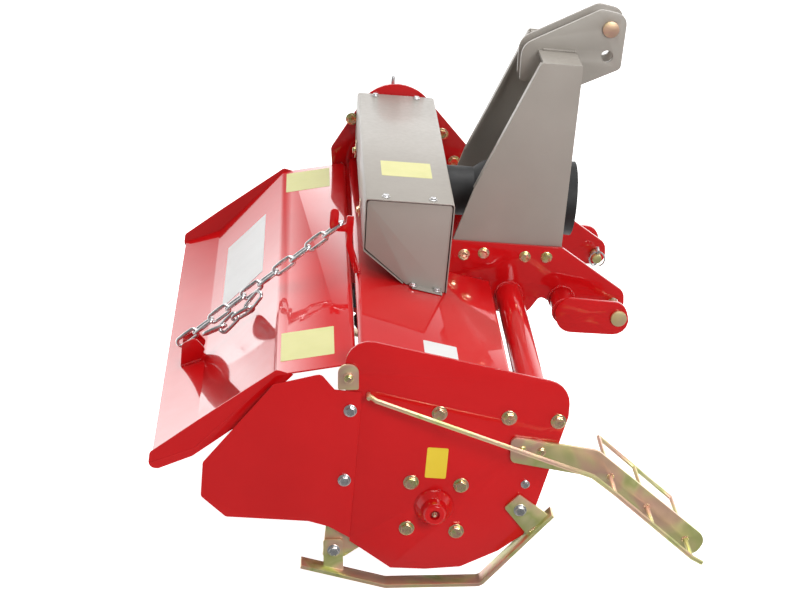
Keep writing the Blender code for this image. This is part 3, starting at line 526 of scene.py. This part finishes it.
# %% [markdown]
# ## Chain
# A long link is a torus cut in two and pulled apart: all vertices on one side of the middle move out, then
# all on the other.  A faint swelling on one leg is where the wire was welded shut.  Each link is turned a
# quarter from the last, and they lie on one straight line because the tailgate's weight pulls them taut.

# %% One link
LINK_WIRE, LINK_HALF_WIDTH, LINK_INNER, LINK_BITE = 0.004, 0.0095, 0.0435, 0.0012
choose()
bpy.ops.mesh.primitive_torus_add(
    major_segments=28, minor_segments=14, major_radius=LINK_HALF_WIDTH, minor_radius=LINK_WIRE
)
link = bpy.context.object
pull = (LINK_INNER + 2 * LINK_WIRE) / 2 - LINK_HALF_WIDTH
for sign in (1, -1):
    open_mesh(link, "VERT")
    pick(link, lambda vertex: vertex.co.x * sign > 0.0001, "VERT")
    bpy.ops.transform.translate(value=(sign * pull, 0, 0))
open_mesh(link, "VERT")
pick(link, lambda vertex: abs(vertex.co.x) < 0.0001 and vertex.co.y < 0, "VERT")
bpy.ops.transform.shrink_fatten(value=0.0007)
close_mesh()
bpy.ops.object.shade_smooth()
print("link length", round(link.dimensions.x, 4))

# %% The taut chain
CHAIN_LINKS = 10
hook = Vector(joints["chain_swing"]["pos_m"])
drop = math.radians(42.5)
taut = machine.to_3x3() @ Vector((-math.cos(drop), 0, -math.sin(drop)))
across_chain = taut.cross(left)
lying = Matrix((taut, left, taut.cross(left))).transposed().to_4x4()
first = (LINK_INNER + 2 * LINK_WIRE) / 2


def link_at(along, turn, aside=Vector((0, 0, 0)), yaw=0.0):
    place = Matrix.Translation(hook + taut * along + aside)
    return place @ lying @ Matrix.Rotation(yaw, 4, "Y") @ Matrix.Rotation(turn, 4, "X")


spots = [link_at(first + i * (LINK_INNER + LINK_BITE), math.pi / 2 * (i % 2)) for i in range(CHAIN_LINKS)]
finish(copies(link, spots), "taut_chain", zinc, "bright_zinc", "holding_chain", "chain")
print(CHAIN_LINKS, "links")

# %% [markdown]
# The chain is longer than it need be.  Its spare links are turned back at the tailgate's ears and lie
# bunched beside the taut run, so they ride on the tailgate.

# %% Spare links
SPARE = [
    # along the chain, aside along Y, lift, turn, yaw
    (0.362, -0.0295, 0.014, 0.5, 0.25),
    (0.327, -0.0315, 0.020, 1.9, -0.15),
    (0.290, -0.0300, 0.022, 0.9, 0.12),
    (0.256, -0.0290, 0.015, 2.4, -0.25),
]
spots = [
    link_at(along, turn, left * aside + across_chain * lift, yaw) for along, aside, lift, turn, yaw in SPARE
]
finish(copies(link, spots), "spare_chain", zinc, "bright_zinc", "tailgate")
discard(link)
print(len(SPARE), "spare links")

# %% [markdown]
# ## Weld beads
# A hand weld is a row of overlapping drops.  One drop is a flattened ball, and a bead is many of them along
# a line or round a tube, painted over with the piece.

# %% One drop and a bead
choose()
bpy.ops.mesh.primitive_uv_sphere_add(segments=10, ring_count=6, radius=1.0)
drop_shape = bpy.context.object
bpy.ops.object.shade_smooth()


def bead(name, points, size, look, slot, body, closed=False):
    """A weld bead through these places in the room."""
    spots = []
    ends = list(zip(points, points[1:] + points[:1])) if closed else list(zip(points, points[1:]))
    for start, end in ends:
        run = end - start
        steps = max(1, round(run.length / (size * 0.9)))
        for step in range(steps):
            turn = run.to_track_quat("X", "Z").to_matrix().to_4x4()
            scale = Matrix.Diagonal((size * 0.75, size, size * 0.8, 1))
            spots.append(Matrix.Translation(start + run * ((step + 0.5) / steps)) @ turn @ scale)
    return finish(copies(drop_shape, spots), name, look, slot, body)


def ring(x, y, z, radius, steps=24):
    return [
        at(x + radius * math.cos(math.tau * i / steps), y, z + radius * math.sin(math.tau * i / steps))
        for i in range(steps)
    ]


# %% Where it is welded
LOWER_GAP = 0.085
for side, sign in (("right", -1), ("left", 1)):
    inner = HITCH_MIDDLE + sign * (HITCH_HALF + 0.002)
    outer = HITCH_MIDDLE + sign * (HITCH_HALF + LOWER_GAP - 0.002)
    bead("weld_spacer_" + side, ring(0.311, inner, 0.203, 0.029), 0.0034, red, "red_paint", "frame", True)
    name = "weld_spacer_outer_" + side
    bead(name, ring(0.311, outer, 0.203, 0.029), 0.0032, red, "red_paint", "frame", True)
    for number, reach in enumerate((HITCH_HALF + 0.0015, HITCH_HALF - 0.0115)):
        y = HITCH_MIDDLE + sign * reach
        name = "weld_tube_" + side + "_" + str(number)
        bead(name, ring(0.190, y, 0.203, 0.031), 0.0034, red, "red_paint", "frame", True)
    clevis = HITCH_MIDDLE + sign * 0.0365
    line = [at(0.222, clevis, 0.7445), at(0.296, clevis, 0.7445)]
    bead("weld_clevis_" + side, line, 0.0040, grey, "grey_paint", "frame")
for side, y in (("right", PLATE + 0.0012), ("left", SPAN - PLATE - 0.0012)):
    bead("weld_tube_plate_" + side, ring(0.190, y, 0.203, 0.031), 0.0032, red, "red_paint", "frame", True)
for sign in (-1, 1):
    y = 0.495 + sign * 0.0042
    line = [at(-0.161, y, 0.3062), at(-0.175, y, 0.3064)]
    bead("weld_hook_" + ("right" if sign < 0 else "left"), line, 0.0030, red, "red_paint", "frame")
print("welds laid")

# %% Welds of the ears, the guards' rungs and the skids' tabs
for name, sign in (("right", -1), ("left", 1)):
    y = 0.495 + sign * (0.0195 + 0.0068)
    line = [at(-0.534, y, 0.0700), at(-0.492, y, 0.0890)]
    bead("weld_ear_" + name, line, 0.0030, red, "red_paint", "tailgate")
ARM_BEND, ARM_TIP = Vector((0.308, 0, 0.122)), Vector((0.536, 0, -0.052))
for side, face, sign in (("right", 0.0, -1), ("left", SPAN, 1)):
    for number, share in enumerate((0.16, 0.52, 0.90)):
        middle = ARM_BEND.lerp(ARM_TIP, share)
        y = face + sign * 0.0086
        name = "weld_rung_" + side + "_" + str(number)
        bead(name, ring(middle.x, y, middle.z, 0.0062, 10), 0.0030, gold_small, "yellow_zinc", "frame", True)
    tab = face + sign * 0.0066
    line = [level @ Vector((0.192, tab, -0.0575)), level @ Vector((0.229, tab, -0.0290))]
    bead("weld_skid_" + side, line, 0.0042, gold_small, "yellow_zinc", "frame")
discard(drop_shape)
print("ears, rungs and skids welded")

# %% [markdown]
# ## Labels
# The labels are thin film with rounded corners, stuck on and left blank.  A rectangle is a cube squeezed to
# film thickness, with its upright edges bevelled.

# %% Blank labels
def label(name, look, slot, body, middle, along, over, length, width):
    """A film of length along one direction and width along the other, half a millimetre thick."""
    choose()
    bpy.ops.mesh.primitive_cube_add(size=1.0)
    film = bpy.context.object
    bpy.ops.transform.resize(value=(length, width, 0.0005))
    settle(film)
    edge = film.modifiers.new("corners", "BEVEL")
    edge.width = 0.003
    edge.segments = 4
    edge.affect = "EDGES"
    edge.limit_method = "WEIGHT"
    weights = film.data.attributes.new("bevel_weight_edge", "FLOAT", "EDGE")
    for side in film.data.edges:
        ends = [film.data.vertices[i].co for i in side.vertices]
        weights.data[side.index].value = 1.0 if abs(ends[0].z - ends[1].z) > 0.0001 else 0.0
    bpy.ops.object.modifier_apply(modifier=edge.name)
    out = along.cross(over)
    lying = Matrix((along, over, out)).transposed().to_4x4()
    film.data.transform(Matrix.Translation(middle + out * 0.0002) @ lying)
    finish(film, name, look, slot, body)


turned = machine.to_3x3()
straight_on = turned @ Vector((1, 0, 0))
steep_slope = (turned @ Vector((0.148, 0, 0.166))).normalized()
DECK_FALL = math.radians(9.4)
deck_slope = turned @ Vector((math.cos(DECK_FALL), 0, -math.sin(DECK_FALL)))


def on_tail(x, y, start, end):
    """A place on the outside of a flat of the tailgate."""
    share = (x - start[0]) / (end[0] - start[0])
    place = Vector((x, y, start[1] + share * (end[1] - start[1])))
    normal = Vector((start[1] - end[1], 0, end[0] - start[0])).normalized()
    return machine @ (place + (normal if normal.z > 0 else -normal) * 0.0016)


hinge_line, fold_top, fold_low = (-0.188, 0.2898), (-0.334, 0.256), (-0.482, 0.090)
upper_slope = (turned @ Vector((hinge_line[0] - fold_top[0], 0, hinge_line[1] - fold_top[1]))).normalized()
for name, y in (("right", 0.150), ("left", 1.222)):
    label("label_tailgate_" + name, pale_label, "red_paint", "tailgate",
          on_tail(-0.272, y, hinge_line, fold_top), upper_slope, left, 0.108, 0.148)
label("label_tailgate_middle", white_label, "red_paint", "tailgate",
      on_tail(-0.412, 0.900, fold_top, fold_low), steep_slope, left, 0.128, 0.400)
label("label_cover", pale_label, "grey_paint", "frame",
      at(-0.068, 0.706, COVER_TOP), straight_on, left, 0.112, 0.108)
label("label_plate", yellow_label, "red_paint", "frame",
      at(-0.003, 0, 0.096), straight_on, upward, 0.042, 0.066)
deck_place = at(-0.004, 0.142, 0.304 - (0.162 - 0.004) * math.tan(DECK_FALL) + 0.0016)
label("label_hood", white_label, "red_paint", "frame", deck_place, deck_slope, left, 0.070, 0.072)
print("six blank labels")

# %% [markdown]
# ## Input shaft
# The tractor's driveline slides over six splines.  A cylinder's side faces are picked in six groups and
# extruded outwards, once for the long stretch and once past the locking groove.

# %% Splined shaft
SHAFT_RADIUS, SPLINE = 0.0165, 0.0020
input_place = Vector(joints["input_spin"]["pos_m"])


def splined(start, end):
    choose()
    bpy.ops.mesh.primitive_cylinder_add(
        vertices=36, radius=SHAFT_RADIUS - SPLINE, depth=end - start, location=(0, 0, (start + end) / 2)
    )
    stretch = bpy.context.object
    settle(stretch)
    open_mesh(stretch)

    def on_spline(face):
        middle = face.calc_center_median()
        number = int(math.degrees(math.atan2(middle.y, middle.x)) % 360 // 10)
        return abs(face.normal.z) < 0.5 and number % 6 < 3

    pick(stretch, on_spline)
    bpy.ops.mesh.extrude_region_shrink_fatten(TRANSFORM_OT_shrink_fatten={"value": SPLINE})
    close_mesh()
    return stretch


choose()
bpy.ops.mesh.primitive_cylinder_add(
    vertices=36, radius=SHAFT_RADIUS - 0.0035, depth=0.150, location=(0, 0, 0.137)
)
core = bpy.context.object
settle(core)
shaft = joined([splined(0.062, 0.161), splined(0.171, 0.214), core])
soften(shaft, 0.0004)
shaft.data.transform(facing(input_place, forward))
finish(shaft, "splined_shaft", steel, "bright_zinc", "input_shaft", "pto_shaft")
print("shaft splined")

# %% [markdown]
# ## Rotor
# Each blade is held to its flange by two bolts.  They are placed in the flange's own plane and follow the
# turn that each blade set has, so that the blades wind round the shaft.

# %% Blade bolts
BLADE_SETS, BLADES, INSET = 7, 4, 0.105
spots = []
for number in range(BLADE_SETS):
    y = INSET + number * (SPAN - 2 * INSET) / (BLADE_SETS - 1)
    start = math.radians(90 / BLADE_SETS * number * 3)
    for blade in range(BLADES):
        angle = start + math.tau * blade / BLADES
        sign = 1 if blade % 2 == 0 else -1
        for radius, offset in ((0.050, 0.008), (0.062, -0.008)):
            x = radius * math.cos(angle) + offset * math.sin(angle)
            z = -radius * math.sin(angle) + offset * math.cos(angle)
            out = Vector((0, sign, 0))
            spots.append(facing(at(x, y + sign * 0.0105, z), out))
            spots.append(facing(at(x, y - sign * 0.0045, z), -out))
finish(copies(small_bolt, spots), "blade_bolts", gold_small, "yellow_zinc", "rotor")
print(len(spots), "blade bolts")

# %% [markdown]
# ## Small fittings
# The side drive's case is seen from the left.  It has a level plug, a plug over the rotor's end, and screws
# round its rim: half of them follow its upper round and half its lower one.

# %% Case fittings
CASE_FACE = SPAN + 0.0703
CASE_ROUNDS = [((-0.063, 0.399), 0.076, (30, 80, 130, 180)), ((0, 0), 0.088, (-150, -105, -60, -10))]
case_places = []
for (x, z), radius, angles in CASE_ROUNDS:
    for angle in map(math.radians, angles):
        case_places.append((x + radius * math.cos(angle), CASE_FACE, z + radius * math.sin(angle)))
bolts("screws_case", small_bolt, gold_small, "yellow_zinc", "frame", case_places, LEFT)
bolts("plug_case", mid_bolt, zinc, "bright_zinc", "frame",
      [(-0.030, CASE_FACE, 0.210), (0, CASE_FACE, 0)], LEFT)
discard(small_bolt, mid_bolt)
print("case fitted")

# %% [markdown]
# ## Studio
# A white floor and a white surround.  The glossy sheet is only as good as what it mirrors, so the surround is
# bright behind the machine and dim in front of it and overhead.  One soft panel hangs above and a smaller one
# stands in front.  The floor glows for the camera alone, so it reads as white paper.  Glossy sheet doesn't
# mirror it, which keeps the end plates deep red.

# %% Floor
choose()
bpy.ops.mesh.primitive_plane_add(size=40.0, location=(0, 0, -0.0005))
floor = bpy.context.object
floor.name = "floor"
paper, tree, shader = new_look("white_floor", Specular_IOR_Level=0.1)
whites = [(0.3, (0.90, 0.90, 0.90)), (0.7, (0.92, 0.92, 0.92))]
colours(tree, noise(tree, 0.6, 2), whites, shader.inputs["Base Color"])
spread(tree, noise(tree, 3), 0.75, 0.85, shader.inputs["Roughness"])
glow = tree.nodes.new("ShaderNodeMath")
glow.operation = "MULTIPLY"
glow.inputs[1].default_value = 0.93
tree.links.new(tree.nodes.new("ShaderNodeLightPath").outputs["Is Camera Ray"], glow.inputs[0])
tree.links.new(glow.outputs["Value"], shader.inputs["Emission Strength"])
shader.inputs["Emission Color"].default_value = (1.0, 1.0, 1.0, 1.0)
floor.data.materials.append(paper)
floor.visible_glossy = False
print("floor laid")

# %% Lights and surround
SURROUND_FRONT, SURROUND_BACK = 0.20, 1.75
world = bpy.data.worlds.new("surround")
bpy.context.scene.world = world
world.use_nodes = True
tree = world.node_tree
background = tree.nodes["Background"]
facing_back = tree.nodes.new("ShaderNodeSeparateXYZ")
tree.links.new(tree.nodes.new("ShaderNodeTexCoord").outputs["Generated"], facing_back.inputs["Vector"])
over_horizon = tree.nodes.new("ShaderNodeMapRange")
over_horizon.inputs["From Min"].default_value = 0.30
over_horizon.inputs["From Max"].default_value = 0.60
over_horizon.inputs["To Min"].default_value = 1.0
over_horizon.inputs["To Max"].default_value = 0.30
tree.links.new(facing_back.outputs["Z"], over_horizon.inputs["Value"])
dim = tree.nodes.new("ShaderNodeMath")
dim.operation = "MULTIPLY"
fade = tree.nodes.new("ShaderNodeMapRange")
fade.inputs["From Min"].default_value = -0.7
fade.inputs["From Max"].default_value = 0.8
fade.inputs["To Min"].default_value = SURROUND_FRONT
fade.inputs["To Max"].default_value = SURROUND_BACK
tree.links.new(facing_back.outputs["Y"], fade.inputs["Value"])
seen = tree.nodes.new("ShaderNodeMix")
seen.inputs["B"].default_value = 1.0
tree.links.new(tree.nodes.new("ShaderNodeLightPath").outputs["Is Camera Ray"], seen.inputs["Factor"])
tree.links.new(fade.outputs["Result"], dim.inputs[0])
tree.links.new(over_horizon.outputs["Result"], dim.inputs[1])
tree.links.new(dim.outputs["Value"], seen.inputs["A"])
tree.links.new(seen.outputs["Result"], background.inputs["Strength"])
background.inputs["Color"].default_value = (1.0, 1.0, 1.0, 1.0)


def panel(name, place, aim, size, power):
    light = bpy.data.lights.new(name, "AREA")
    light.shape = "RECTANGLE"
    light.size, light.size_y = size
    light.energy = power
    lamp = bpy.data.objects.new(name, light)
    bpy.context.scene.collection.objects.link(lamp)
    lamp.location = place
    lamp.rotation_euler = (Vector(aim) - Vector(place)).to_track_quat("-Z", "Y").to_euler()
    lamp.visible_camera = False
    return lamp


panel("top_panel", (0.4, 0.2, 3.6), (0, 0, 0.3), (2.6, 2.6), 88)
panel("front_panel", (1.6, -4.2, 2.6), (0, -0.4, 0.4), (1.6, 1.6), 115)
bpy.context.scene.view_settings.view_transform = "Standard"
print("lights set")

# %% Camera
camera_data = bpy.data.cameras.new("camera")
camera_data.sensor_width = 36.0
camera_data.lens = 96.75
camera = bpy.data.objects.new("camera", camera_data)
bpy.context.scene.collection.objects.link(camera)
camera.location = hub_place + Vector((-0.218, -3.859, 1.931))
camera.rotation_euler = Vector((0.0364, 0.9325, -0.3594)).to_track_quat("-Z", "Y").to_euler()
bpy.context.scene.camera = camera
print("camera at", tuple(round(value, 3) for value in camera.location))

# %% Nothing left selected
for thing in bpy.data.objects:
    thing.select_set(False)
